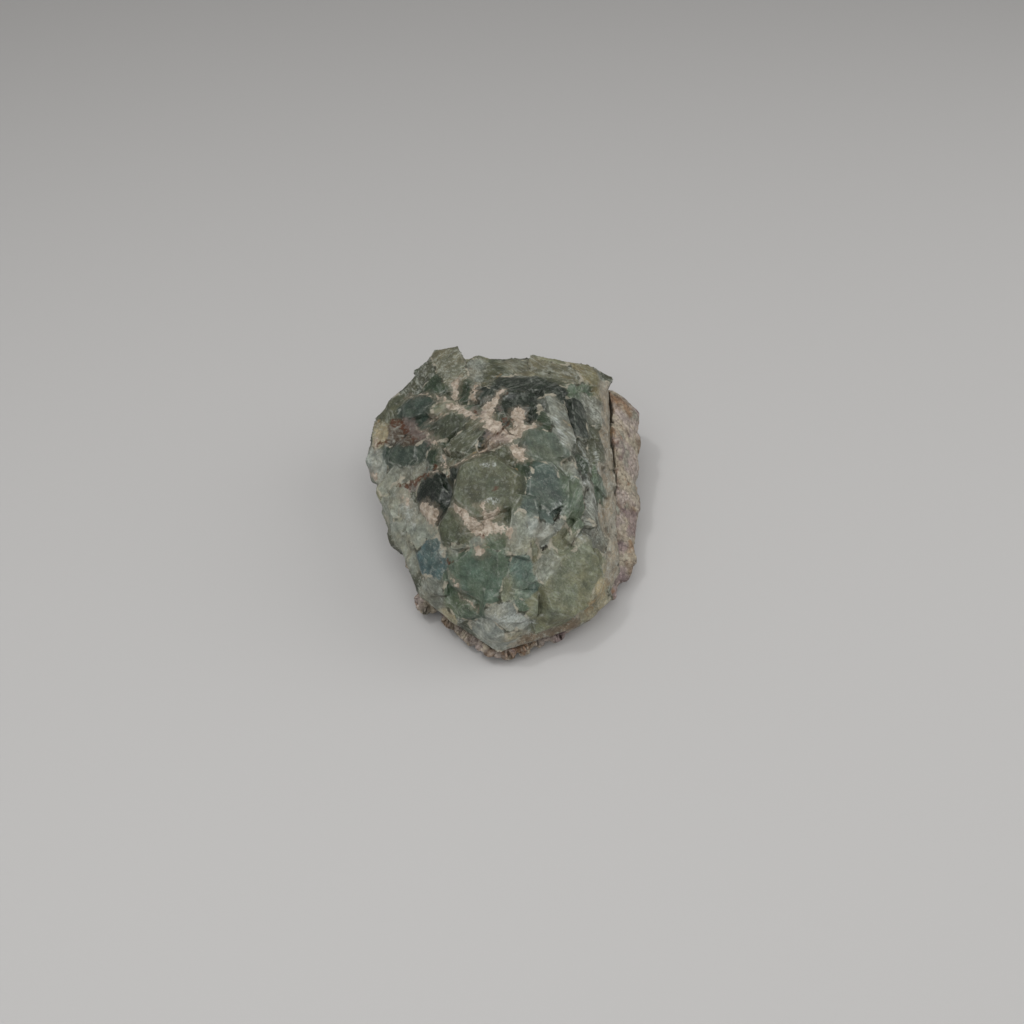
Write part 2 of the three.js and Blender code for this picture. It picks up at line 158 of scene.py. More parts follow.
# Halves the longest edge of every triangle, again and again, while it is longer than the cell.
# What is hidden stays coarse.
def splitLongEdges(points, triangles, sizes, isHidden):
    for _ in range(sizes["passes"]):
        sides = sidesOf(triangles)
        keys, which = np.unique(sides.min(1) * len(points) + sides.max(1), return_inverse=True)
        which = which.reshape(-1, 3)
        starts, stops = points[keys // len(points)], points[keys % len(points)]
        lengths = np.linalg.norm(starts - stops, axis=1)
        split = np.zeros(len(keys), bool)
        split[which[np.arange(len(which)), lengths[which].argmax(1)]] = True
        split &= lengths > sizes["cell"]
        for i in np.flatnonzero(split & (lengths < sizes["hiddenCell"])):
            split[i] = not isHidden((starts[i] + stops[i]) / 2)
        middle = np.full(len(keys), -1)
        middle[split] = len(points) + np.arange(split.sum())
        points = np.vstack([points, (starts[split] + stops[split]) / 2])
        triangles = splitTriangles(points, triangles, middle[which])
    return points, triangles


# Cuts each triangle at the middles that its sides have; a middle of -1 is none.
def splitTriangles(points, triangles, middles):
    count = (middles >= 0).sum(1)
    made = [triangles[count == 0]]

    def keep(*corners):
        made.append(np.stack(corners, 1))

    for side in range(3):
        order = [side, (side + 1) % 3, (side + 2) % 3]
        one = (count == 1) & (middles[:, side] >= 0)
        a, b, c = triangles[one][:, order].T
        m = middles[one, side]
        keep(a, m, c)
        keep(m, b, c)
        two = (count == 2) & (middles[:, order[2]] < 0)
        a, b, c = triangles[two][:, order].T
        m, n = middles[two, order[0]], middles[two, order[1]]
        keep(m, b, n)
        across = np.linalg.norm(points[a] - points[n], axis=1)
        other = np.linalg.norm(points[m] - points[c], axis=1)
        near = across < other
        keep(a, m, np.where(near, n, c))
        keep(np.where(near, a, m), n, c)
    a, b, c = triangles[count == 3].T
    m, n, o = middles[count == 3].T
    for corners in ((a, m, o), (m, b, n), (o, n, c), (m, n, o)):
        keep(*corners)
    return np.vstack(made)


def fineMesh(solid, sizes, isHidden):
    points = np.array([v.co for v in solid.verts])
    triangles = np.array([[v.index for v in face.verts] for face in solid.faces])
    return splitLongEdges(points, triangles, sizes, isHidden)


def pointNormals(points, triangles):
    a, b, c = (points[triangles[:, i]] for i in range(3))
    facing = np.cross(b - a, c - a)
    summed = np.zeros_like(points)
    for i in range(3):
        for axis in range(3):
            summed[:, axis] += np.bincount(triangles[:, i], facing[:, axis], len(points))
    return summed / np.maximum(np.linalg.norm(summed, axis=1, keepdims=True), 1e-12)


# Fills hollow creases and rounds outward edges, each as far as its weight for every point allows.
def weather(points, triangles, fill, wear, rounds):
    sides = sidesOf(triangles)
    keys = np.unique(sides.min(1) * len(points) + sides.max(1))
    ends = np.stack([keys // len(points), keys % len(points)], 1)
    links = np.bincount(ends.ravel(), minlength=len(points))
    for _ in range(rounds):
        normals = pointNormals(points, triangles)
        summed = np.zeros_like(points)
        for near, far in ((0, 1), (1, 0)):
            for axis in range(3):
                summed[:, axis] += np.bincount(ends[:, near], points[ends[:, far], axis], len(points))
        toMiddle = ((summed / links[:, None] - points) * normals).sum(1)
        move = fill * np.maximum(toMiddle, 0) + wear * np.minimum(toMiddle, 0)
        points = points + normals * move[:, None]
    return points


# A smooth repeatable noise for points, mostly from -1 to 1: a sum of waves.
def softNoise(points, pitch, seed, waves=8):
    rng = np.random.default_rng(seed)
    summed = np.zeros(len(points))
    for _ in range(waves):
        way = rng.normal(size=3)
        summed += np.sin(points @ (way / pitch) + rng.uniform(0, 2 * math.pi))
    return summed / (waves / 2)


# Points pushed about by several noises, each with its pitch and how far it pushes.
def wobbled(points, octaves, seed):
    pushed = points.copy()
    for octave, (pitch, size) in enumerate(octaves):
        for axis in range(3):
            pushed[:, axis] += size * softNoise(points, pitch, seed + 10 * octave + axis)
    return pushed


# Points about a pixel apart along a stroke drawn over the photograph.
def strokeLine(pixels):
    line = []
    for (x0, y0), (x1, y1) in zip(pixels, pixels[1:] + pixels[-1:]):
        steps = max(1, round(math.hypot(x1 - x0, y1 - y0)))
        line += [photoPoint((x0 + (x1 - x0) * i / steps, y0 + (y1 - y0) * i / steps))
                 for i in range(steps)]
    return np.array([p for p in line if p is not None])


# Three directions at right angles, the first along a line of points.
def lineFrame(line):
    along = Vector(line[-1] - line[0])
    if along.length < 0.01 * mm:
        along = Vector((1, 0, 0))
    return np.array(along.to_track_quat("X", "Z").to_matrix()).T


# Which points lie within reach of a stroke with blunt square ends, and how far outside its width.
def awayFromStroke(points, width, pixels, reach):
    line = strokeLine(pixels)
    if not len(line):
        return np.zeros(0, int), np.zeros(0)
    edge = reach + width * mm
    near = np.flatnonzero(((points > line.min(0) - edge) & (points < line.max(0) + edge)).all(1))
    turn = lineFrame(line).T
    away = np.full(len(near), reach)
    for p in line:
        step = (points[near] - p) @ turn
        away = np.minimum(away, (step ** 4).sum(1) ** 0.25 - width * mm / 2)
    return near, away


def strokeField(points, strokes, reach):
    field = np.full(len(points), reach)
    for width, *pixels in strokes:
        near, away = awayFromStroke(points, width, pixels, reach)
        field[near] = np.minimum(field[near], away)
    return field


# The nearest of several strokes for each point, how far off it is, and how far away the border to the next.
def nearestStroke(points, strokes, reach):
    best = np.full(len(points), reach)
    second = best.copy()
    which = np.full(len(points), -1)
    for i, (width, *pixels) in enumerate(strokes):
        near, away = awayFromStroke(points, width, pixels, reach)
        closer = away < best[near]
        second[near] = np.where(closer, best[near], np.minimum(second[near], away))
        best[near] = np.minimum(best[near], away)
        which[near[closer]] = i
    return which, best, (second - best) / 2


# Up to three columns of values, kept as one vector for each point or face.
def keepValues(mesh, name, columns, domain="POINT"):
    values = np.zeros((len(columns[0]), 3), np.float32)
    values[:, :len(columns)] = np.stack(columns, 1)
    made = mesh.attributes.new(name, "FLOAT_VECTOR", domain)
    made.data.foreach_set("vector", values.ravel())


def makeObject(name, points, triangles):
    mesh = bpy.data.meshes.new(name)
    mesh.from_pydata(points.tolist(), [], triangles.tolist())
    made = bpy.data.objects.new(name, mesh)
    bpy.context.scene.collection.objects.link(made)
    return made


# Node trees

def isSocket(value):
    return isinstance(value, bpy.types.NodeSocket)


def feed(socket, value):
    if isSocket(value):
        socket.id_data.links.new(value, socket)
    else:
        socket.default_value = value


# A new node, in the tree that its inputs come from unless another is named.
def add(kind, inputs, tree=None, **settings):
    if tree is None:
        tree = next(value.id_data for value in inputs.values() if isSocket(value))
    made = tree.nodes.new(kind)
    for name, value in settings.items():
        setattr(made, name, value)
    for name, value in inputs.items():
        feed(made.inputs[name], value)
    return made


def calc(operation, first, second=0.0, clamp=False):
    made = add("ShaderNodeMath", {0: first, 1: second}, operation=operation, use_clamp=clamp)
    return made.outputs[0]


def chain(operation, values):
    result = values[0]
    for value in values[1:]:
        result = calc(operation, result, value)
    return result


def total(*values):
    return chain("ADD", values)


def product(*values):
    return chain("MULTIPLY", values)


def less(first, second):
    return calc("SUBTRACT", first, second)


def ramp(value, low, high, toLow=0.0, toHigh=1.0):
    spans = {"Value": value, "From Min": low, "From Max": high, "To Min": toLow, "To Max": toHigh}
    return add("ShaderNodeMapRange", spans, interpolation_type="SMOOTHSTEP").outputs["Result"]


def scaled(vector, factor):
    return add("ShaderNodeVectorMath", {0: vector, "Scale": factor}, operation="SCALE").outputs[0]


def stretched(vector, factors):
    return add("ShaderNodeVectorMath", {0: vector, 1: factors}, operation="MULTIPLY").outputs[0]


def moved(vector, step):
    return add("ShaderNodeVectorMath", {0: vector, 1: step}, operation="ADD").outputs[0]


def scaleFor(size):
    return calc("DIVIDE", 1.0, size) if isSocket(size) else 1 / size


# Noise whose lumps are about so many of the vector's units across.
def noise(vector, size, detail=3.0, roughness=0.55, distortion=0.0):
    inputs = {"Vector": vector, "Scale": scaleFor(size), "Detail": detail,
              "Roughness": roughness, "Distortion": distortion}
    return add("ShaderNodeTexNoise", inputs).outputs["Fac"]


# Noise drawn out in some directions, like silk.
def silky(vector, factors, size, detail, roughness):
    return noise(stretched(vector, factors), size, detail, roughness)


# Patches that begin where the noise is at one value and are full at another.
def patches(vector, size, low, high, detail=3.0, roughness=0.55, toLow=0.0, toHigh=1.0):
    return ramp(noise(vector, size, detail, roughness), low, high, toLow, toHigh)


def cells(vector, size, output="Distance"):
    inputs = {"Vector": vector, "Scale": scaleFor(size)}
    return add("ShaderNodeTexVoronoi", inputs).outputs[output]


def mixColor(amount, first, second, mode="MIX"):
    made = add("ShaderNodeMix", {0: amount, 6: first, 7: second}, data_type="RGBA", blend_type=mode)
    return made.outputs[2]


def mixValue(amount, first, second):
    return add("ShaderNodeMix", {0: amount, 2: first, 3: second}, data_type="FLOAT").outputs[0]


def parts(vector):
    return add("ShaderNodeSeparateXYZ", {0: vector}).outputs


socketKinds = {"Vector": "NodeSocketVector", "Geometry": "NodeSocketGeometry"}


# A tree with named inputs and outputs, which are single values but for those two.
def makeGroup(name, kind, inputs, outputs):
    group = bpy.data.node_groups.new(name, kind)
    for way, labels in (("INPUT", inputs), ("OUTPUT", outputs)):
        for label in labels:
            socketKind = socketKinds.get(label, "NodeSocketFloat")
            group.interface.new_socket(label, in_out=way, socket_type=socketKind)
    return group, group.nodes.new("NodeGroupInput").outputs, group.nodes.new("NodeGroupOutput").inputs


def useGroup(group, inputs):
    return add("ShaderNodeGroup", inputs, node_tree=group).outputs


# Colours are given as they look in soft daylight, 0 to 255. The lamps here need them this much lighter,
# less what the surface's own shine adds.
toneGain = 1.16
shineShare = 0.018


def linear(tone):
    return [toneGain * max(0.0, ((c / 255 + 0.055) / 1.055) ** 2.4 - shineShare) for c in tone]


def paint(tone):
    return (*linear(tone), 1.0)


# Shared shader effects

# Cloudy light and dark, as milky crystal has, around 1.
def makeCloudGroup():
    group, start, end = makeGroup(
        "cloudiness", "ShaderNodeTree", ["Vector", "Size", "Contrast"], ["Shade"])
    broad = noise(start["Vector"], start["Size"], detail=5.0, roughness=0.62, distortion=0.4)
    swing = product(less(broad, 0.5), start["Contrast"], 2.0)
    feed(end["Shade"], total(1.0, swing))
    return group


# Sugary grain: a tint from 0 to 1 for each grain, and a height for a bump.
def makeSugarGroup():
    group, start, end = makeGroup("sugar", "ShaderNodeTree", ["Vector", "Size"], ["Tint", "Height"])
    wobble = add("ShaderNodeTexNoise", {"Vector": start["Vector"], "Scale": 1.4, "Detail": 2.0})
    vector = moved(start["Vector"], scaled(wobble.outputs["Color"], 0.5))
    grain = cells(vector, start["Size"], "Color")
    height = cells(vector, start["Size"])
    fine = noise(start["Vector"], product(start["Size"], 0.45), detail=3.0)
    feed(end["Tint"], parts(grain)[0])
    feed(end["Height"], less(fine, height))
    return group


# A mark's mask from its distance field, with a ragged edge.
def makeMarkGroup():
    group, start, end = makeGroup(
        "raggedMark", "ShaderNodeTree", ["Distance", "Vector", "Ragged", "Soft"], ["Mask"])
    rough = noise(start["Vector"], 0.9, detail=4.0, roughness=0.6)
    swell = noise(start["Vector"], 2.6, detail=2.0)
    uneven = less(total(rough, swell), 1.0)
    away = total(start["Distance"], product(uneven, start["Ragged"], 2.0))
    inner = product(start["Soft"], -1.0)
    feed(end["Mask"], less(1.0, ramp(away, inner, start["Soft"])))
    return group


cloudGroup = makeCloudGroup()
sugarGroup = makeSugarGroup()
markGroup = makeMarkGroup()


def clouds(vector, size, contrast):
    return useGroup(cloudGroup, {"Vector": vector, "Size": size, "Contrast": contrast})["Shade"]


def mark(distance, vector, ragged, soft):
    inputs = {"Distance": distance, "Vector": vector, "Ragged": ragged, "Soft": soft}
    return useGroup(markGroup, inputs)["Mask"]


# Lays tones over a colour, one after another: each has its tone, its mask and how strongly it covers.
def layered(color, layers):
    for tone, mask, amount in layers:
        color = mixColor(product(mask, amount), color, tone)
    return color


def attribute(tree, name):
    return parts(add("ShaderNodeAttribute", {}, tree, attribute_name=name).outputs["Vector"])


def inMillimetres(tree):
    return scaled(add("ShaderNodeTexCoord", {}, tree).outputs["Object"], 1 / mm)


def newMaterial(name):
    material = bpy.data.materials.new(name)
    material.use_nodes = True
    return material, material.node_tree, material.node_tree.nodes["Principled BSDF"]


# Relief by Geometry Nodes

def namedVector(tree, name):
    made = add("GeometryNodeInputNamedAttribute", {"Name": name}, tree, data_type="FLOAT_VECTOR")
    return parts(made.outputs["Attribute"])


# Moves every point along its normal by a height, with a named input for each size.
def reliefTree(name, sizes, heightOf, material):
    tree, start, end = makeGroup(name, "GeometryNodeTree", ["Geometry", *sizes], ["Geometry"])
    tree.is_modifier = True
    vector = scaled(add("GeometryNodeInputPosition", {}, tree).outputs[0], 1 / mm)
    height = heightOf(tree, start, vector)
    offset = scaled(add("GeometryNodeInputNormal", {}, tree).outputs[0], height)
    shaped = add("GeometryNodeSetPosition", {"Geometry": start["Geometry"], "Offset": offset})
    realized = add("GeometryNodeRealizeInstances", {"Geometry": shaped.outputs[0]})
    painted = add("GeometryNodeSetMaterial", {"Geometry": realized.outputs[0], "Material": material})
    feed(end["Geometry"], painted.outputs[0])
    return tree


# Gives a piece its relief and its material, and keeps edges sharper than an angle in degrees.
def dress(made, sizes, heightOf, material, angle):
    tree = reliefTree(made.name + "Relief", sizes, heightOf, material)
    modifier = made.modifiers.new("relief", "NODES")
    modifier.node_group = tree
    for socket in tree.interface.items_tree:
        if socket.in_out == "INPUT" and socket.name in sizes:
            modifier[socket.identifier] = sizes[socket.name]
    evaluated = made.evaluated_get(bpy.context.evaluated_depsgraph_get())
    shaped = bpy.data.meshes.new_from_object(evaluated)
    made.modifiers.remove(modifier)
    plain = made.data
    made.data = shaped
    bpy.data.meshes.remove(plain)
    shaped.name = made.name
    shaped.shade_smooth()
    shaped.set_sharp_from_angle(angle=math.radians(angle))


# A value from 0 to 1 spread evenly to both sides of nothing.
def centred(value, size):
    return product(less(value, 0.5), product(size, 2.0))


# The green fluorite

fluorite = {
    "cell": 0.7 * mm,          # longest edge of the fine mesh
    "passes": 9,
    "hiddenCell": 4 * mm,      # the same inside the crust
    "hiddenWithin": 1.2 * mm,
    "fillReach": 2.4 * mm,     # how far from a hollow crease it is filled
    "wearReach": 1.2 * mm,     # how far from an outward edge it is worn
    "fill": (0.55, 0.4),       # how much a crease is filled, and how much of that varies
    "wear": (0.22, 0.3),
    "wearPitch": 1.4 * mm,
    "jointWear": 0.7,          # how much the mass is worn where it meets the crust
    "settle": 0.1,             # how much everything is smoothed
    "rounds": 26,
    "shownReach": 1.6 * mm,    # how far outside its strokes a crystal of the photograph may grow
    # Pitch and size of each noise.
    "wobble": ((1.5 * mm, 0.35 * mm), (0.7 * mm, 0.25 * mm), (0.3 * mm, 0.12 * mm)),
    "veinWobble": ((0.9 * mm, 0.5 * mm), (0.35 * mm, 0.28 * mm), (0.18 * mm, 0.1 * mm)),
    "fieldReach": 3 * mm,
    "blendRounds": 12,
    "blendPitch": 2.2 * mm,
    "seed": 11,
    "sharpFrom": 32,           # degrees
}

# Looks of crystals: tone; gloss, streaks and frost; and where the photograph shows them, as strokes. A
# stroke is a width in mm, then pixels along its middle.
crystalLooks = {
    "slateTeal": ((57, 66, 60), (0.6, 0.12, 0.1), [
        (5.7, (408, 405), (425, 414)), (4.7, (390, 455), (403, 457), (417, 455))]),
    "darkGreen": ((51, 60, 49), (0.6, 0.2, 0.14), [
        (3.1, (434, 385), (447, 396)), (2.3, (467, 381), (463, 397)), (3.6, (543, 422), (537, 412)),
        (3.1, (435, 456), (437, 461)), (4.7, (522, 470), (527, 473)), (1.3, (576, 455), (587, 485)),
        (1.5, (555, 521), (560, 513))]),
    "slate": ((43, 48, 43), (0.6, 0.2, 0.16), [
        (4.7, (504, 383), (532, 385), (556, 388)), (3.1, (488, 397), (478, 394)),
        (4.2, (508, 407), (527, 403), (534, 414)), (2.2, (487, 435), (477, 449)),
        (2.9, (577, 405), (582, 427))]),
    "black": ((32, 41, 37), (0.7, 0.12, 0.08), [
        (5.7, (430, 489), (442, 503)), (2.6, (453, 476), (470, 465))]),
    "darkOlive": ((70, 73, 60), (0.5, 0.3, 0.25), [
        (4.2, (497, 368), (487, 381)), (3.1, (500, 456), (509, 463)), (4.7, (596, 435), (602, 455))]),
    "oliveSquare": ((62, 66, 56), (0.4, 0.2, 0.15), [(4.9, (443, 428), (455, 423))]),
    "olive": ((76, 79, 66), (0.4, 0.4, 0.25), [
        (5.2, (475, 428), (461, 455)), (4.7, (402, 399), (384, 416))]),
    "bigOlive": ((75, 79, 65), (0.2, 0.15, 0.2), [
        (13.8, (480, 485), (497, 489)), (7.3, (453, 525), (462, 532))]),
    "paleOlive": ((104, 106, 88), (0.3, 0.3, 0.25), [
        (2.5, (431, 410), (445, 405)), (3.1, (535, 549), (536, 557)), (3.1, (560, 540), (567, 528))]),
    "hexGreen": ((78, 86, 77), (0.4, 0.12, 0.12), [(7.0, (538, 443), (553, 451))]),
    "blueHeart": ((65, 76, 70), (0.5, 0.18, 0.14), [(9.6, (543, 486), (539, 503))]),
    "green": ((76, 88, 74), (0.5, 0.3, 0.15), [
        (5.2, (568, 482), (577, 502), (572, 521)), (4.9, (495, 543), (501, 535)),
        (2.9, (453, 587), (457, 602), (470, 613)), (3.1, (523, 608), (532, 611)),
        (2.3, (601, 485), (603, 506)), (2.1, (576, 391), (592, 388))]),
    "blueTeal": ((69, 85, 86), (0.4, 0.3, 0.3), [(5.4, (426, 553), (432, 566))]),
    "blueGreen": ((90, 105, 97), (0.4, 0.2, 0.2), [(6.7, (521, 570), (527, 585))]),
    "seaGreen": ((76, 90, 79), (0.4, 0.12, 0.12), [(9.9, (466, 579), (489, 573), (478, 591))]),
    "yellowGreen": ((102, 106, 89), (0.3, 0.25, 0.15), [
        (11.2, (585, 568), (568, 598), (551, 608)), (4.2, (508, 581), (508, 588))]),
    "yellowOlive": ((104, 100, 78), (0.3, 0.4, 0.2), [
        (4.7, (584, 367), (596, 384)), (1.3, (455, 566), (470, 557), (487, 561), (500, 571))]),
    "straw": ((96, 96, 82), (0.3, 0.5, 0.35), [
        (3.2, (512, 365), (542, 367), (572, 376)), (5.4, (447, 354), (456, 376))]),
    "sage": ((120, 124, 114), (0.3, 0.3, 0.35), [
        (4.2, (394, 475), (388, 482)), (5.7, (394, 497), (390, 505)),
        (3.1, (410, 524), (429, 533), (418, 539)), (2.9, (456, 547), (475, 540)),
        (2.3, (398, 527), (408, 549), (414, 561))]),
    "mint": ((112, 115, 103), (0.35, 0.4, 0.4), [
        (5.2, (519, 517), (519, 541)), (5.7, (550, 565), (542, 572)), (3.6, (582, 541), (576, 551))]),
    "paleGrey": ((102, 105, 97), (0.35, 0.4, 0.4), [
        (4.0, (549, 401), (559, 420), (570, 440)), (3.1, (476, 367), (478, 379)),
        (4.7, (433, 588), (431, 604)), (2.1, (563, 461), (577, 476)), (1.9, (560, 517), (551, 532)),
        (2.1, (571, 512), (565, 525)), (2.1, (403, 472), (423, 468))]),
    "paleFoot": ((110, 101, 88), (0.2, 0.5, 0.5), [
        (2.6, (520, 646), (545, 639), (566, 633), (585, 625))]),
    "ridge": ((93, 95, 87), (0.35, 0.7, 0.55), [
        (3.1, (585, 485), (591, 506), (597, 527)), (3.6, (587, 399), (595, 417)),
        (4.2, (591, 528), (606, 541))]),
    # Its own pale colour, made lighter still as painted light on a side that faces away from the lamps.
    "paleFlankAndPaintedLight": ((132, 127, 115), (0.2, 0.45, 0.5), [
        (3.4, (604, 394), (608, 432), (608, 462)), (3.6, (603, 468), (609, 490)),
        (3.8, (607, 505), (609, 535)), (3.0, (611, 546), (611, 572)),
        (3.0, (614, 400), (615, 470), (615, 560))]),
    "frost": ((124, 129, 123), (0.35, 0.55, 0.65), [
        (3.6, (372, 461), (382, 469)), (4.2, (538, 523), (547, 534)), (2.1, (438, 558), (439, 561)),
        (3.9, (489, 611), (508, 615), (525, 623)), (5.2, (487, 634), (500, 645)),
        # This stroke is partly pale frost and partly a painted glint.
        (2.1, (408, 510), (412, 521))]),
    "tan": ((136, 131, 110), (0.2, 0.4, 0.35), [
        (4.7, (604, 581), (594, 606)), (2.3, (518, 634), (500, 651)), (2.1, (380, 427), (378, 440)),
        (2.1, (435, 613), (448, 617))]),
    "greySlope": ((71, 74, 64), (0.3, 0.55, 0.45), [(4.7, (422, 376), (410, 391))]),
    "stained": ((74, 65, 56), (0.2, 0.3, 0.3), [
        (3.6, (401, 427), (414, 438), (398, 436)), (3.6, (497, 435), (489, 442))]),
}
# What grows between them, and on the sides that the photograph doesn't show.
matrixLook = "greySlope"
crowdLooks = ["sage", "olive", "greySlope", "mint", "green", "paleGrey", "darkOlive", "paleOlive", "ridge"]

# Veins and stains, as strokes over the photograph. Some pale strokes are painted highlights: glints, and
# the sky's reflection on flat crystal tops. The darkest stains are painted shade in crevices and pits.
veinsAndHighlights = {
    "cream": [
        (0.7, (411, 396), (421, 394), (434, 395), (444, 399)),
        (1.6, (457, 382), (456, 389), (455, 399)), (1.2, (476, 387), (473, 398)),
        (1.9, (450, 407), (463, 411), (476, 416)), (1.2, (502, 391), (493, 401)),
        (2.8, (490, 405), (485, 419)), (3.1, (489, 423), (501, 429)), (1.4, (492, 443), (503, 436)),
        (2.6, (517, 414), (520, 427)), (1.2, (521, 427), (535, 426)), (2.4, (518, 431), (508, 439)),
        (2.7, (516, 447), (521, 456)),
        (0.6, (431, 472), (452, 465), (470, 458), (487, 450), (497, 445)),
        (3.2, (422, 510), (433, 517)), (1.8, (455, 506), (469, 521)), (2.3, (470, 523), (482, 532)),
        (2.2, (487, 530), (487, 517)), (1.2, (486, 516), (481, 508)), (1.6, (490, 518), (496, 512)),
        (1.6, (492, 526), (509, 533)), (1.3, (476, 551), (482, 552)),
        (0.5, (421, 429), (432, 440), (444, 450), (443, 462)),
        (0.5, (427, 424), (438, 417), (450, 410)), (1.2, (375, 440), (376, 446)),
        (1.0, (371, 475), (376, 480)), (1.0, (401, 494), (408, 504)),
        (0.5, (449, 574), (456, 585), (465, 598), (478, 608))],
    "tan": [
        (0.4, (471, 370), (478, 387)), (0.5, (479, 387), (489, 382), (497, 376), (507, 373)),
        (0.9, (374, 427), (379, 420)), (1.6, (588, 611), (598, 600), (607, 583)),
        (0.6, (484, 546), (489, 549)), (0.5, (562, 415), (572, 428)), (0.5, (516, 466), (514, 482)),
        (0.6, (497, 430), (487, 440), (470, 456))],
    # Pale frost streaks, and painted highlights: glints, and the sky's reflection on the flat top of the
    # big olive crystal.
    "frostAndHighlight": [
        (1.6, (408, 510), (411, 516)), (0.8, (412, 522), (413, 528)),
        (0.9, (551, 463), (560, 468), (572, 478)), (0.6, (568, 429), (583, 449), (591, 470)),
        (0.7, (581, 462), (592, 493), (602, 518)), (0.9, (549, 512), (560, 504)),
        (0.8, (557, 516), (569, 507)), (1.2, (556, 419), (560, 430), (566, 444)),
        (2.0, (497, 621), (517, 618), (530, 622)), (1.0, (484, 466), (492, 463)),
        (0.9, (486, 503), (496, 500)), (0.8, (574, 527), (586, 541)),
        (0.6, (594, 448), (600, 474), (604, 500))],
}
stains = {
    "rust": [
        (2.2, (393, 421), (401, 425)), (1.4, (402, 428), (408, 434), (413, 438)),
        (1.6, (379, 445), (385, 443)), (1.2, (399, 484), (406, 486)),
        (1.3, (411, 484), (420, 479), (427, 474)), (0.8, (428, 468), (436, 466)),
        (0.9, (498, 434), (505, 428), (511, 423)), (0.6, (494, 486), (494, 490)),
        (0.5, (449, 560), (450, 563)), (0.5, (453, 564), (452, 567)), (0.6, (470, 369), (471, 371)),
        (0.7, (506, 421), (512, 419)), (0.5, (475, 411), (477, 414)), (0.4, (507, 393), (508, 394)),
        (0.5, (448, 474), (449, 476)), (0.6, (479, 536), (484, 537)), (0.5, (460, 513), (461, 515))],
    "lilac": [
        (3.0, (406, 423), (412, 427), (418, 434)), (1.6, (420, 436), (430, 441)),
        (2.0, (489, 434), (498, 438), (506, 440)), (1.0, (499, 407), (502, 410)),
        (1.4, (482, 412), (474, 408)), (1.4, (416, 486), (410, 489))],
    # Painted shade in crevices and pits.
    "paintedCreviceShade": [
        (0.6, (501, 430), (511, 421)), (1.0, (544, 551), (546, 547)), (0.7, (553, 524), (559, 514)),
        (0.7, (573, 452), (580, 470), (588, 490)), (0.8, (404, 436), (409, 436)),
        (0.6, (428, 470), (440, 470))],
}


# One look for each share of the solid that the photograph doesn't show: the largest is the mass between
# the crystals.
def hiddenLooks(solid, share, count):
    areas = np.zeros(count)
    for face in solid.faces:
        areas[share[face.index]] += face.calc_area()
    rng = np.random.default_rng(fluorite["seed"])
    names = [crowdLooks[i] for i in rng.integers(len(crowdLooks), size=count)]
    names[int(areas.argmax())] = matrixLook
    return names


# Which look every point has, with borders as ragged as grown crystals have, and how far off the next
# border is.
def shareOut(points, solid, share, count):
    reach = fluorite["shownReach"]
    shown = [(name, stroke) for name, look in crystalLooks.items() for stroke in look[2]]
    names = [name for name, _ in shown] + hiddenLooks(solid, share, count)
    ragged = wobbled(points, fluorite["wobble"], fluorite["seed"])
    which, away, border = nearestStroke(ragged, [stroke for _, stroke in shown], fluorite["fieldReach"])
    own = surfaces["green_fluorite"]
    beneath = np.array([len(shown) + share[own.find_nearest(p)[2]] for p in ragged])
    creases = distancesTo(edgePoints(solid, True), ragged, fluorite["fieldReach"])
    isShown = away < reach
    seam = np.where(isShown, border, creases)
    return names, np.where(isShown, which, beneath), np.minimum(seam, abs(away - reach))


# Lets the tones of neighbours run into each other, here more and there less.
def blendTones(tones, points, triangles):
    sides = sidesOf(triangles)
    links = np.maximum(np.bincount(sides.ravel(), minlength=len(points)), 1)
    blurred = tones
    for _ in range(fluorite["blendRounds"]):
        spread = [np.bincount(sides[:, 0], blurred[sides[:, 1], i], len(points))
                  + np.bincount(sides[:, 1], blurred[sides[:, 0], i], len(points)) for i in range(3)]
        blurred = (blurred + np.stack(spread, 1) / links[:, None]) / 2
    patchy = softNoise(points, fluorite["blendPitch"], fluorite["seed"] + 5)
    amount = np.clip(0.5 + 0.9 * patchy, 0, 1)[:, None]
    return tones + (blurred - tones) * amount


# How far creases fill and edges wear at each point, here more and there less.
def weights(points, crease, edge, joint):
    patchy = 0.5 + 0.5 * softNoise(points, fluorite["wearPitch"], fluorite["seed"])
    nearCrease = np.clip(1.2 - crease / fluorite["fillReach"], 0, 1)
    nearEdge = np.clip(1.1 - edge / fluorite["wearReach"], 0, 1)
    nearJoint = np.clip(1.3 - joint / fluorite["wearReach"], 0, 1)
    fill = nearCrease * (fluorite["fill"][0] + fluorite["fill"][1] * patchy)
    wear = nearEdge * (fluorite["wear"][0] + fluorite["wear"][1] * patchy)
    wear = np.maximum(wear, fluorite["jointWear"] * nearJoint)
    return np.maximum(fill, fluorite["settle"]), np.maximum(wear, fluorite["settle"])


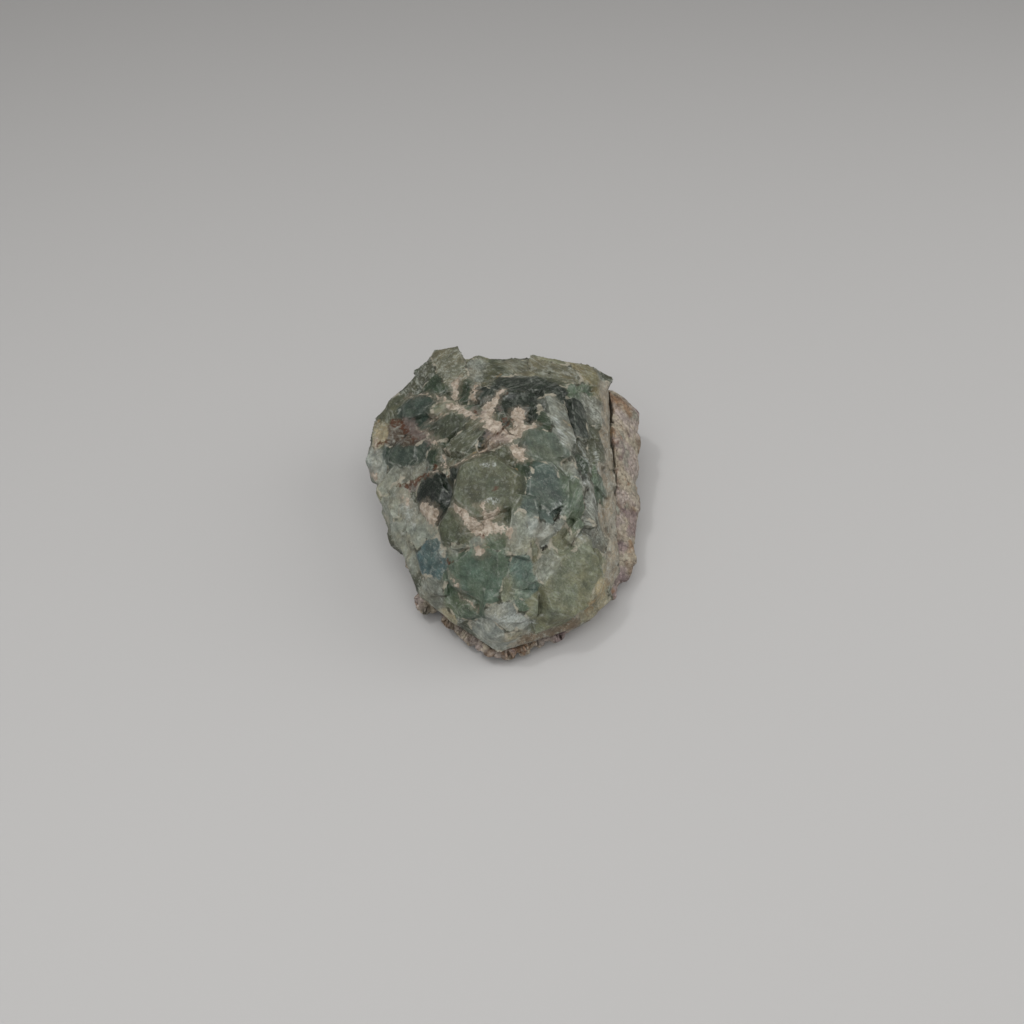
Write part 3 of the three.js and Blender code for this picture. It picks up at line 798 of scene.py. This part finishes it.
def makeFluoriteMesh():
    solid = solids["green_fluorite"]
    share, count = crystalShares(solid)
    crust = surfaces["lilac_crust"]

    def isHidden(point):
        return crust.find_nearest(point, fluorite["hiddenWithin"])[0] is not None

    points, triangles = fineMesh(solid, fluorite, isHidden)
    reach = fluorite["fieldReach"]
    names, owner, seam = shareOut(points, solid, share, count)
    crease = distancesTo(edgePoints(solid, True), points, reach)
    edge = distancesTo(edgePoints(solid, False), points, reach)
    joint = np.array([crust.find_nearest(p, reach)[3] or reach for p in points])
    fill, wear = weights(points, crease, edge, joint)
    wandering = wobbled(points, fluorite["veinWobble"], fluorite["seed"])
    fields = {kind: strokeField(wandering, strokes, reach) / mm
              for kind, strokes in {**veinsAndHighlights, **stains}.items()}
    points = weather(points, triangles, fill, wear, fluorite["rounds"])
    made = makeObject("greenFluorite", points, triangles)
    mesh = made.data
    tones, habits, _ = zip(*(crystalLooks[name] for name in names))
    rng = np.random.default_rng(fluorite["seed"] + 1)
    own = rng.uniform(0, 1, (len(names), 3)) * [2 * math.pi, 1, 1]
    tones = np.array([linear(tone) for tone in tones])[owner]
    keepValues(mesh, "tone", blendTones(tones, points, triangles).T)
    keepValues(mesh, "habit", np.array(habits)[owner].T)
    keepValues(mesh, "own", own[owner[triangles[:, 0]]].T, "FACE")
    keepValues(mesh, "near", [seam / mm, edge / mm, joint / mm])
    keepValues(mesh, "veinsAndHighlights", [fields[kind] for kind in veinsAndHighlights])
    keepValues(mesh, "stains", [fields[kind] for kind in stains])
    print("fluorite mesh:", len(names), "crystals,", len(triangles), "triangles")
    return made


fluoriteRelief = {
    "Swell": 0.16 * mm,        # broad unevenness of the faces
    "Step": 0.12 * mm,         # growth steps
    "Grain": 0.07 * mm,
    "Chip": 0.1 * mm,          # taken off outward edges
    "Vein": 0.12 * mm,         # how far a cream vein stands up
    "Close": 0.4 * mm,         # closes the parting to the crust
}

fluoritePaint = {
    "frost": (156, 159, 151),
    "cream": (180, 170, 157),
    "creamDeep": (136, 124, 110),
    "tan": (128, 112, 86),
    # Pale frost, and the colour of painted highlights.
    "frostAndHighlight": (166, 171, 167),
    "seamPale": (148, 143, 129),
    "seamDark": (54, 54, 46),
    "rust": (76, 52, 40),
    "lilac": (112, 101, 97),
    # Painted shade in crevices and pits.
    "paintedCreviceShade": (42, 41, 35),
}

fluoritePattern = {
    "swellSize": 4.0,          # mm, as the other sizes are
    "stepSize": 2.6,
    "stepShare": 0.09,         # how far apart growth steps lie, of the whole swing
    "grainSize": 0.8,
    "cloud": (3.0, 1.05),      # size and contrast
    "fleck": (0.45, 0.5),
    "hues": ((0.95, 0.96, 0.97, 1.0), (1.06, 0.97, 0.88, 1.0)),
    "streak": ((0.14, 1.6, 1.6), 0.9, 5.0, 0.66),      # how it is drawn out; size, detail, roughness
    "feather": ((0.45, 1.3, 1.3), 1.6, 6.0, 0.72),
    "wisp": ((0.3, 1.6, 1.6), 0.8, 5.0, 0.7),
    "seamWidth": (-0.06, 0.36),
    "haloReach": 0.9,          # how far a cream vein's stain runs past it
    "turnAxis": (0.25, 0.2, 0.95),
    "shift": 90.0,
    "sugarSize": 0.5,
    "roughness": (0.64, 0.28),
    "bumpDepth": 0.16,
}


def fluoriteHeight(tree, start, vector):
    given = fluoritePattern
    _, edge, joint = namedVector(tree, "near")
    cream = namedVector(tree, "veinsAndHighlights")[0]
    swell = centred(noise(vector, given["swellSize"], detail=2.0), start["Swell"])
    stepped = calc("SNAP", noise(vector, given["stepSize"], detail=3.0), given["stepShare"])
    step = centred(stepped, product(start["Step"], 2.0))
    fine = noise(vector, given["grainSize"], detail=3.0, roughness=0.6)
    grain = centred(fine, start["Grain"])
    worn = ramp(edge, 0.0, 0.6, 1.0, 0.0)
    rough = patches(vector, 2.6, 0.35, 0.65, detail=1.0)
    chip = product(worn, rough, start["Chip"], -1.0)
    inVein = ramp(cream, -0.4, 0.3, 1.0, 0.0)
    crumb = total(0.3, noise(vector, 0.7, detail=2.0))
    vein = product(inVein, crumb, start["Vein"])
    closing = product(ramp(joint, 0.3, 1.4, 1.0, 0.0), start["Close"])
    return total(swell, step, grain, chip, vein, closing)


# Clouds, flecks, silky cleavage streaks and frost inside the crystals.
def crystalColor(tree, vector, turned, colors):
    given = fluoritePattern
    tone = add("ShaderNodeAttribute", {}, tree, attribute_name="tone").outputs["Vector"]
    gloss, streak, frost = attribute(tree, "habit")
    cloud = clouds(turned, *given["cloud"])
    fleck = clouds(vector, *given["fleck"])
    color = mixColor(1.0, tone, product(cloud, fleck), "MULTIPLY")
    hue = mixColor(patches(turned, 5.0, 0.35, 0.65, detail=2.0), *given["hues"])
    color = mixColor(1.0, color, hue, "MULTIPLY")
    lines = silky(turned, *given["streak"])
    gathered = patches(turned, 3.0, 0.42, 0.6)
    streaks = product(ramp(lines, 0.48, 0.58), gathered, streak)
    feathers = product(ramp(silky(turned, *given["feather"]), 0.53, 0.62), frost)
    dots = product(patches(vector, 0.3, 0.62, 0.74, detail=2.0, roughness=0.7), 0.55)
    pale = calc("MAXIMUM", calc("MAXIMUM", streaks, feathers), dots, clamp=True)
    specks = patches(vector, 0.75, 0.36, 0.26)
    color = layered(color, [(colors["frost"], pale, 1.0), (colors["seamDark"], specks, 0.5)])
    return color, pale, lines, gloss


# Pale or dark filling along the borders of crystals, and paler worn edges.
def borderColor(tree, vector, color, colors):
    seam, edge, _ = attribute(tree, "near")
    worn = product(ramp(edge, 0.05, 0.5, 1.0, 0.0), patches(vector, 1.5, 0.4, 0.7))
    narrow, wide = fluoritePattern["seamWidth"]
    width = patches(vector, 4.0, 0.42, 0.66, toLow=narrow, toHigh=wide)
    filling = mark(less(seam, width), vector, 0.22, 0.09)
    choice = patches(moved(vector, (30, 0, 0)), 4.0, 0.4, 0.5)
    seamTone = mixColor(choice, colors["seamDark"], colors["seamPale"])
    return layered(color, [(colors["frost"], worn, 0.45), (seamTone, filling, 0.8)])


# Veins and stains where the photograph shows them, with painted highlights among the pale marks and painted
# shade in crevices. A mark's numbers are how ragged and how soft it is.
def veinsStainsAndPaintedLight(tree, vector, turned, color, colors):
    given = fluoritePattern
    cream, tan, frostAndHighlight = attribute(tree, "veinsAndHighlights")
    rust, lilac, paintedCreviceShade = attribute(tree, "stains")
    deep = patches(vector, 1.3, 0.4, 0.6, detail=5.0, roughness=0.65)
    creamTone = mixColor(deep, colors["creamDeep"], colors["cream"])
    broken = patches(vector, 1.1, 0.38, 0.56, detail=4.0, roughness=0.65)
    wisps = ramp(silky(turned, *given["wisp"]), 0.4, 0.6)
    creamMask = mark(cream, vector, 0.7, 0.14)
    halo = mark(less(cream, given["haloReach"]), vector, 1.1, 0.5)
    tanMask = mark(tan, vector, 0.45, 0.2)
    # Pale frost streaks and painted highlights.
    frostAndHighlightMask = product(mark(frostAndHighlight, vector, 0.9, 0.5), wisps)
    rustMask = product(mark(rust, vector, 1.1, 0.3), calc("ADD", broken, 0.1, clamp=True))
    color = layered(color, [
        (creamTone, creamMask, 0.92),
        (colors["creamDeep"], halo, 0.22),
        (colors["tan"], product(tanMask, broken), 0.75),
        # Pale frost and painted highlights.
        (colors["frostAndHighlight"], frostAndHighlightMask, 0.7),
        (colors["lilac"], mark(lilac, vector, 1.1, 0.5), 0.5),
        (colors["rust"], rustMask, 0.9),
        # Painted shade in crevices and pits.
        (colors["paintedCreviceShade"], mark(paintedCreviceShade, vector, 0.35, 0.25), 1.0)])
    return color, calc("MAXIMUM", creamMask, tanMask)


# Each crystal turns and shifts its own pattern.
def turnedPattern(tree, vector):
    given = fluoritePattern
    angle, seed, _ = attribute(tree, "own")
    turn = {"Vector": vector, "Axis": given["turnAxis"], "Angle": angle}
    turned = add("ShaderNodeVectorRotate", turn).outputs[0]
    shift = {0: product(seed, given["shift"]), 1: seed, 2: seed}
    return moved(turned, add("ShaderNodeCombineXYZ", shift).outputs[0])


def fluoriteMaterial():
    given = fluoritePattern
    material, tree, shader = newMaterial("cloudyFluorite")
    colors = {name: paint(tone) for name, tone in fluoritePaint.items()}
    vector = inMillimetres(tree)
    turned = turnedPattern(tree, vector)
    sugar = useGroup(sugarGroup, {"Vector": vector, "Size": given["sugarSize"]})
    color, pale, lines, gloss = crystalColor(tree, vector, turned, colors)
    color = borderColor(tree, vector, color, colors)
    color, grainy = veinsStainsAndPaintedLight(tree, vector, turned, color, colors)
    grainTint = ramp(sugar["Tint"], 0.0, 1.0, 0.88, 1.12)
    feed(shader.inputs["Base Color"], mixColor(1.0, color, grainTint, "MULTIPLY"))
    dull = calc("MAXIMUM", grainy, product(pale, 0.5), clamp=True)
    patchy = patches(turned, 1.6, 0.35, 0.6, detail=2.0, toLow=0.2)
    glassy = product(gloss, less(1.0, dull), patchy)
    feed(shader.inputs["Roughness"], ramp(glassy, 0.0, 0.6, *given["roughness"]))
    fine = noise(vector, 0.3, detail=4.0, roughness=0.65)
    grains = product(sugar["Height"], total(0.25, product(grainy, 0.8)))
    height = total(product(fine, 0.7), product(lines, 0.9), grains)
    bump = add("ShaderNodeBump",
               {"Strength": 0.6, "Distance": given["bumpDepth"] * mm, "Height": height})
    feed(shader.inputs["Normal"], bump.outputs[0])
    shader.inputs["IOR"].default_value = 1.43
    shader.inputs["Subsurface Weight"].default_value = 0.12
    shader.inputs["Subsurface Radius"].default_value = (0.8, 1.0, 0.85)
    shader.inputs["Subsurface Scale"].default_value = 1.0 * mm
    return material


greenFluorite = makeFluoriteMesh()
dress(greenFluorite, fluoriteRelief, fluoriteHeight, fluoriteMaterial(), fluorite["sharpFrom"])
print("fluorite finished")


# The crust

crustSizes = {
    "cell": 0.62 * mm,
    "passes": 9,
    "hiddenCell": 4 * mm,
    "hiddenWithin": 0.45 * mm,
    "fieldReach": 4 * mm,
    "rounds": 6,
    "fill": 0.6,
    "wear": 0.45,
    "rimRounds": 20,
    "rimFill": 0.9,
    "rimWear": 0.1,
    "rimWidth": 3.0 * mm,
    "thinToWide": (-12 * mm, 8 * mm),      # along X and Y together: a thin band in front, wide behind
    "rimShare": (0.1, 1),                  # how much of that holds for the thin band and the wide one
    "gripReach": (0.8 * mm, 2.4 * mm),     # how near the green mass the rim is drawn to it
    "gripDepth": 0.25 * mm,
    "wobble": ((1.6 * mm, 1.1 * mm), (0.6 * mm, 0.45 * mm)),
    "seed": 11,
    "sharpFrom": 40,
}

crustRelief = {
    "Lump": 0.75 * mm,         # knobs a few millimetres across
    "Nodule": 0.5 * mm,        # rounded grains
    "Grain": 0.16 * mm,
    "Knob": 1.5 * mm,          # how far the thin band in front swells out in knobs
}

# Sizes in mm.
crustPattern = {
    "lumpSize": 4.2,
    "noduleSizes": (2.6, 1.1),
    "grainSize": 0.7,
    "knobSize": 3.2,
    "band": (-24.0, -6.0),     # where the thin band lies, along X and Y together
    "bandFoot": (0.8, 3.2),    # above the floor, where the knobs begin and are full
    "rim": (0.3, 1.6),         # from the green mass, where the relief begins and is full
    "sugarSize": 0.75,
    "cloud": (2.2, 0.5),       # size and contrast
    "bumpDepth": 0.3,
}

crustStains = {
    "rust": [
        (4.0, (612, 396), (622, 402), (628, 410)), (2.4, (612, 440), (616, 430)),
        (1.6, (438, 624), (443, 633), (455, 640)), (1.2, (414, 574), (417, 578)),
        (1.0, (628, 588), (622, 594)), (1.6, (633, 545), (630, 555)), (1.0, (500, 657), (520, 650)),
        (1.2, (468, 647), (480, 650))],
    "lilac": [
        (4.0, (628, 515), (634, 520), (632, 530)), (2.4, (418, 586), (420, 594)),
        (2.4, (452, 632), (462, 640)), (3.0, (622, 575), (626, 580)), (3.0, (622, 548), (616, 556))],
    "pale": [
        (3.0, (610, 500), (618, 508)), (3.0, (604, 480), (600, 470)), (3.0, (598, 520), (606, 535))],
}

crustPaint = {
    "buff": (146, 138, 122),
    "pink": (148, 138, 130),
    "brown": (112, 97, 82),
    "grey": (128, 126, 115),
    "rust": (116, 90, 66),
    "lilac": (122, 107, 108),
    "pale": (142, 144, 132),
    # Painted shade in the hollows between grains.
    "paintedHollowShade": (62, 52, 44),
}

# Patches all over: tone; the noise's shift and size; where they begin and are full; detail; and how much
# they cover.
crustPatches = [
    ("brown", (40, 0, 0), 5.0, 0.5, 0.66, 4.0, 1.0),
    ("grey", (0, 40, 0), 7.0, 0.54, 0.68, 4.0, 1.0),
    ("lilac", (0, 0, 40), 8.0, 0.56, 0.68, 4.0, 0.7),
    ("rust", (20, 30, 0), 4.0, 0.6, 0.7, 5.0, 0.8),
]

# The stains: how ragged and how soft they are, and how much they cover.
crustMarks = [("pale", 1.2, 0.8, 1.0), ("lilac", 1.4, 0.9, 0.7), ("rust", 1.4, 0.9, 0.75)]


# Closes the parting: points near a surface are drawn to it and just into it.
def drawnTo(surface, points, reaches, depth):
    drawn = points.copy()
    for i, (point, reach) in enumerate(zip(points, reaches)):
        place, _, _, gap = surface.find_nearest(point, reach)
        if place is not None and gap > 0:
            share = min(1, 1.3 * (1 - gap / reach))
            drawn[i] += (np.array(place) - point) * (1 + depth / gap) * share
    return drawn


def makeCrustMesh():
    given = crustSizes
    solid = solids["lilac_crust"]
    green = surfaces["green_fluorite"]

    def isHidden(point):
        return point[2] < 0.05 * mm or green.find_nearest(point, given["hiddenWithin"])[0] is not None

    points, triangles = fineMesh(solid, given, isHidden)
    reach = given["fieldReach"]
    joint = np.array([green.find_nearest(p, reach)[3] or reach for p in points])
    wandering = wobbled(points, given["wobble"], given["seed"])
    fields = {kind: strokeField(wandering, strokes, reach) / mm for kind, strokes in crustStains.items()}
    free = np.clip(points[:, 2] / mm, 0, 1)
    points = weather(points, triangles, given["fill"] * free, given["wear"] * free, given["rounds"])
    behind = np.interp(points[:, 0] + points[:, 1], given["thinToWide"], given["rimShare"])
    reaches = np.interp(behind, given["rimShare"], given["gripReach"])
    rim = np.clip(1.2 - joint / given["rimWidth"], 0, 1) * free * behind
    points = weather(points, triangles, given["rimFill"] * rim, given["rimWear"] * rim, given["rimRounds"])
    points = drawnTo(green, points, reaches, given["gripDepth"])
    made = makeObject("lilacCrust", points, triangles)
    keepValues(made.data, "near", [free, joint / mm])
    keepValues(made.data, "stains", [fields[kind] for kind in crustStains])
    print("crust mesh:", len(triangles), "triangles")
    return made


def crustHeight(tree, start, vector):
    given = crustPattern
    free, joint, _ = namedVector(tree, "near")
    lump = centred(noise(vector, given["lumpSize"], detail=4.0, roughness=0.6), start["Lump"])
    coarse, small = (less(0.5, cells(vector, size)) for size in given["noduleSizes"])
    where = patches(vector, 5.0, 0.4, 0.6)
    nodule = product(mixValue(where, coarse, product(small, 0.6)), start["Nodule"])
    fine = noise(vector, given["grainSize"], detail=4.0, roughness=0.65)
    grain = centred(fine, start["Grain"])
    along, back, up = parts(vector)
    band = ramp(total(along, back), *given["band"], 1.0, 0.0)
    inFront = product(band, ramp(up, *given["bandFoot"]))
    swelling = patches(vector, given["knobSize"], 0.36, 0.56, toLow=0.25)
    knob = product(swelling, inFront, start["Knob"])
    atRim = ramp(joint, *given["rim"], 0.15, 1.0)
    return product(total(lump, nodule, grain, knob), product(free, atRim))


def crustMaterial():
    given = crustPattern
    material, tree, shader = newMaterial("crustStone")
    colors = {name: paint(tone) for name, tone in crustPaint.items()}
    vector = inMillimetres(tree)
    stained = dict(zip(crustStains, attribute(tree, "stains")))
    sugar = useGroup(sugarGroup, {"Vector": vector, "Size": given["sugarSize"]})
    cloud = clouds(vector, *given["cloud"])
    color = mixColor(patches(vector, 6.0, 0.42, 0.6), colors["buff"], colors["pink"])
    layers = []
    for tone, shift, size, low, high, detail, amount in crustPatches:
        mask = patches(moved(vector, shift), size, low, high, detail)
        layers.append((colors[tone], mask, amount))
    for kind, ragged, soft, amount in crustMarks:
        layers.append((colors[kind], mark(stained[kind], vector, ragged, soft), amount))
    # Painted shade in the hollows between grains, where the grain's height is lowest.
    hollowShadeMask = ramp(sugar["Height"], -0.35, -0.1, 1.0, 0.0)
    layers.append((colors["paintedHollowShade"], hollowShadeMask, 0.45))
    shade = product(cloud, ramp(sugar["Tint"], 0.0, 1.0, 0.8, 1.2))
    color = mixColor(1.0, layered(color, layers), shade, "MULTIPLY")
    feed(shader.inputs["Base Color"], color)
    feed(shader.inputs["Roughness"], ramp(sugar["Tint"], 0.2, 0.95, 0.85, 0.5))
    roughened = {"Strength": 0.7, "Distance": given["bumpDepth"] * mm, "Height": sugar["Height"]}
    feed(shader.inputs["Normal"], add("ShaderNodeBump", roughened).outputs[0])
    return material


lilacCrust = makeCrustMesh()
dress(lilacCrust, crustRelief, crustHeight, crustMaterial(), crustSizes["sharpFrom"])
print("crust finished")


# Floor, light and surroundings

studio = {
    "floorSide": 4.0,
    "floorTone": (170, 169, 168),
    "floorRoughness": 0.7,
    "lamps": {                 # side, place and power
        "softBox": (0.6, (-0.05, -0.2, 0.5), 2.1),
        "sideBox": (0.4, (0.5, 0.05, 0.35), 1.0),
        "smallLamp": (0.05, (-0.25, -0.05, 0.6), 0.6),
    },
    "skyColor": (1.0, 0.985, 0.965, 1.0),
    "skyPower": 0.34,
}


def makeFloor():
    half = studio["floorSide"] / 2
    corners = np.array([(-half, -half, 0), (half, -half, 0), (half, half, 0), (-half, half, 0)])
    floor = makeObject("floor", corners, np.arange(4)[None])
    material, _, shader = newMaterial("floorPaint")
    shader.inputs["Base Color"].default_value = paint(studio["floorTone"])
    shader.inputs["Roughness"].default_value = studio["floorRoughness"]
    floor.data.materials.append(material)


def makeLamp(name, side, place, power):
    data = bpy.data.lights.new(name, "AREA")
    data.size = side
    data.energy = power
    lamp = bpy.data.objects.new(name, data)
    lamp.location = place
    lamp.rotation_euler = Vector(place).to_track_quat("Z", "Y").to_euler()
    bpy.context.scene.collection.objects.link(lamp)


def makeSky():
    world = bpy.data.worlds.new("paleRoom")
    world.use_nodes = True
    sky = world.node_tree.nodes["Background"]
    sky.inputs["Color"].default_value = studio["skyColor"]
    sky.inputs["Strength"].default_value = studio["skyPower"]
    bpy.context.scene.world = world


makeFloor()
for name, (side, place, power) in studio["lamps"].items():
    makeLamp(name, side, place, power)
makeSky()
bpy.context.scene.view_settings.view_transform = "Standard"
print("studio finished")

for piece, node, slot in ((greenFluorite, "green_fluorite", "fluorite"),
                          (lilacCrust, "lilac_crust", "crust")):
    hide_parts(node)
    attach(piece, "root")
